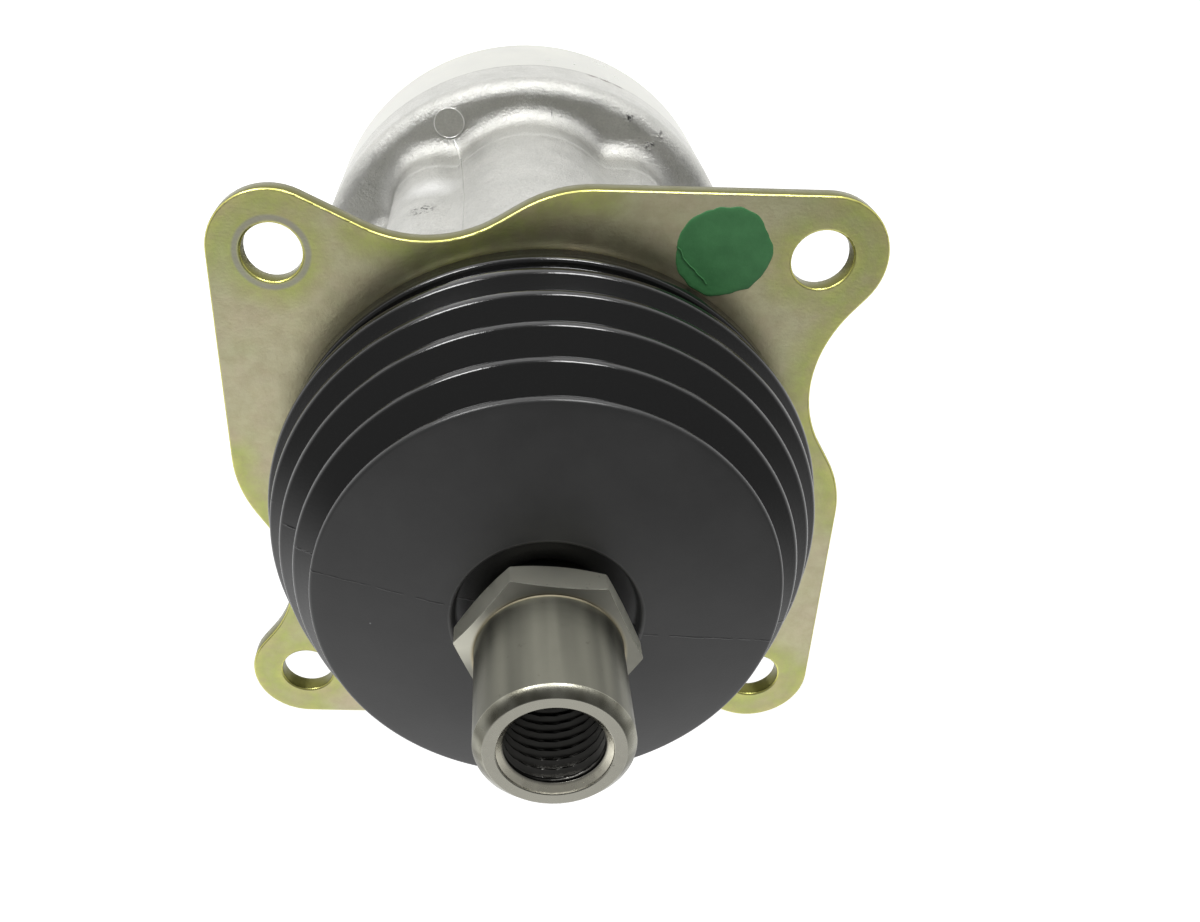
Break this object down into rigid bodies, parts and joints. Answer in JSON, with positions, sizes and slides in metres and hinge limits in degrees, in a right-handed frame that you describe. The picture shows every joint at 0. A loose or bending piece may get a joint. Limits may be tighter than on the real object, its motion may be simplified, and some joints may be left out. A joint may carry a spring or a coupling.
{
  "type": "hydraulic pilot joystick valve",
  "caption": "Two-axis hydraulic pilot control valve with a lobed die-cast body, port block, scalloped console plate, pleated rubber boot and threaded lever coupling.",
  "frame": {"origin": "centre of the four console holes, on the upper face of the mounting plate", "axes": "+Z along the lever in its middle position, away from the ports; +X and +Y along the sides of the square of console holes, with the deeper hollow of the plate edge on the +Y side at negative x"},
  "size_m": [0.0994, 0.1002, 0.1718],
  "materials": {
    "cast_aluminium": "die cast, lightly blasted, satin",
    "machined_aluminium": "fine turned, pale satin",
    "yellow_zinc_steel": "zinc plated with yellow iridescent passivation",
    "boot_rubber": "moulded, satin black",
    "nickel_steel": "turned steel with dull nickel finish",
    "joint_steel": "machined, oiled",
    "hardened_steel": "ground and hardened",
    "spring_steel": "drawn wire",
    "black_screw_steel": "black oxide",
    "seal_rubber": "moulded, matt black",
    "bush_bronze": "sintered bronze"
  },
  "bodies": {
    "root": {"valve_body": "cast_aluminium", "port_block": "machined_aluminium", "block_seals": "seal_rubber", "block_screws": "black_screw_steel", "locating_pins": "hardened_steel", "mounting_plate": "yellow_zinc_steel", "joint_base": "joint_steel", "base_bushes": "bush_bronze", "boot_retainer": "yellow_zinc_steel", "boot": "boot_rubber", "guide_plug_1": "joint_steel", "guide_plug_2": "joint_steel", "guide_plug_3": "joint_steel", "guide_plug_4": "joint_steel", "plug_o_ring_1": "seal_rubber", "plug_o_ring_2": "seal_rubber", "plug_o_ring_3": "seal_rubber", "plug_o_ring_4": "seal_rubber", "rod_seal_1": "seal_rubber", "rod_seal_2": "seal_rubber", "rod_seal_3": "seal_rubber", "rod_seal_4": "seal_rubber", "return_spring_1": "spring_steel", "return_spring_2": "spring_steel", "return_spring_3": "spring_steel", "return_spring_4": "spring_steel"},
    "cross": {"joint_cross": "hardened_steel"},
    "stick": {"joint_yoke": "joint_steel", "yoke_bushes": "bush_bronze", "swash_disc": "hardened_steel", "disc_lock_nut": "joint_steel", "lever_coupling": "nickel_steel"},
    "rod_1": {"push_rod_1": "hardened_steel", "spring_seat_1": "joint_steel"},
    "spool_1": {"spool_1": "hardened_steel", "metering_spring_1": "spring_steel"},
    "rod_2": {"push_rod_2": "hardened_steel", "spring_seat_2": "joint_steel"},
    "spool_2": {"spool_2": "hardened_steel", "metering_spring_2": "spring_steel"},
    "rod_3": {"push_rod_3": "hardened_steel", "spring_seat_3": "joint_steel"},
    "spool_3": {"spool_3": "hardened_steel", "metering_spring_3": "spring_steel"},
    "rod_4": {"push_rod_4": "hardened_steel", "spring_seat_4": "joint_steel"},
    "spool_4": {"spool_4": "hardened_steel", "metering_spring_4": "spring_steel"}
  },
  "joints": [
    {"name": "tilt_x", "type": "hinge", "parent": "root", "child": "cross", "pos_m": [0, 0, 0.01158], "axis": [1, 0, 0], "range_deg": [-19, 19], "stiffness_Nm_per_rad": 3, "deforming": ["boot"]},
    {"name": "tilt_y", "type": "hinge", "parent": "cross", "child": "stick", "pos_m": [0, 0, 0.01158], "axis": [0, 1, 0], "range_deg": [-19, 19], "stiffness_Nm_per_rad": 3, "deforming": ["boot"]},
    {"name": "rod_slide_1", "type": "slide", "parent": "root", "child": "rod_1", "axis": [0, 0, 1], "range_m": [-0.00686, 0.00686], "deforming": ["return_spring_1", "metering_spring_1"]},
    {"name": "rod_slide_2", "type": "slide", "parent": "root", "child": "rod_2", "axis": [0, 0, 1], "range_m": [-0.00686, 0.00686], "deforming": ["return_spring_2", "metering_spring_2"]},
    {"name": "rod_slide_3", "type": "slide", "parent": "root", "child": "rod_3", "axis": [0, 0, 1], "range_m": [-0.00686, 0.00686], "deforming": ["return_spring_3", "metering_spring_3"]},
    {"name": "rod_slide_4", "type": "slide", "parent": "root", "child": "rod_4", "axis": [0, 0, 1], "range_m": [-0.00686, 0.00686], "deforming": ["return_spring_4", "metering_spring_4"]},
    {"name": "spool_slide_1", "type": "slide", "parent": "root", "child": "spool_1", "axis": [0, 0, 1], "range_m": [-0.00084, 0.00084], "deforming": ["metering_spring_1"]},
    {"name": "spool_slide_2", "type": "slide", "parent": "root", "child": "spool_2", "axis": [0, 0, 1], "range_m": [-0.00084, 0.00084], "deforming": ["metering_spring_2"]},
    {"name": "spool_slide_3", "type": "slide", "parent": "root", "child": "spool_3", "axis": [0, 0, 1], "range_m": [-0.00084, 0.00084], "deforming": ["metering_spring_3"]},
    {"name": "spool_slide_4", "type": "slide", "parent": "root", "child": "spool_4", "axis": [0, 0, 1], "range_m": [-0.00084, 0.00084], "deforming": ["metering_spring_4"]}
  ],
  "couplings": [
    {"joint": "rod_slide_1", "follows": "tilt_y", "m_per_rad": -0.0206},
    {"joint": "rod_slide_2", "follows": "tilt_x", "m_per_rad": 0.0206},
    {"joint": "rod_slide_3", "follows": "tilt_y", "m_per_rad": 0.0206},
    {"joint": "rod_slide_4", "follows": "tilt_x", "m_per_rad": -0.0206},
    {"joint": "spool_slide_1", "follows": "tilt_y", "m_per_rad": -0.002472},
    {"joint": "spool_slide_2", "follows": "tilt_x", "m_per_rad": 0.002472},
    {"joint": "spool_slide_3", "follows": "tilt_y", "m_per_rad": 0.002472},
    {"joint": "spool_slide_4", "follows": "tilt_x", "m_per_rad": -0.002472}
  ]
}
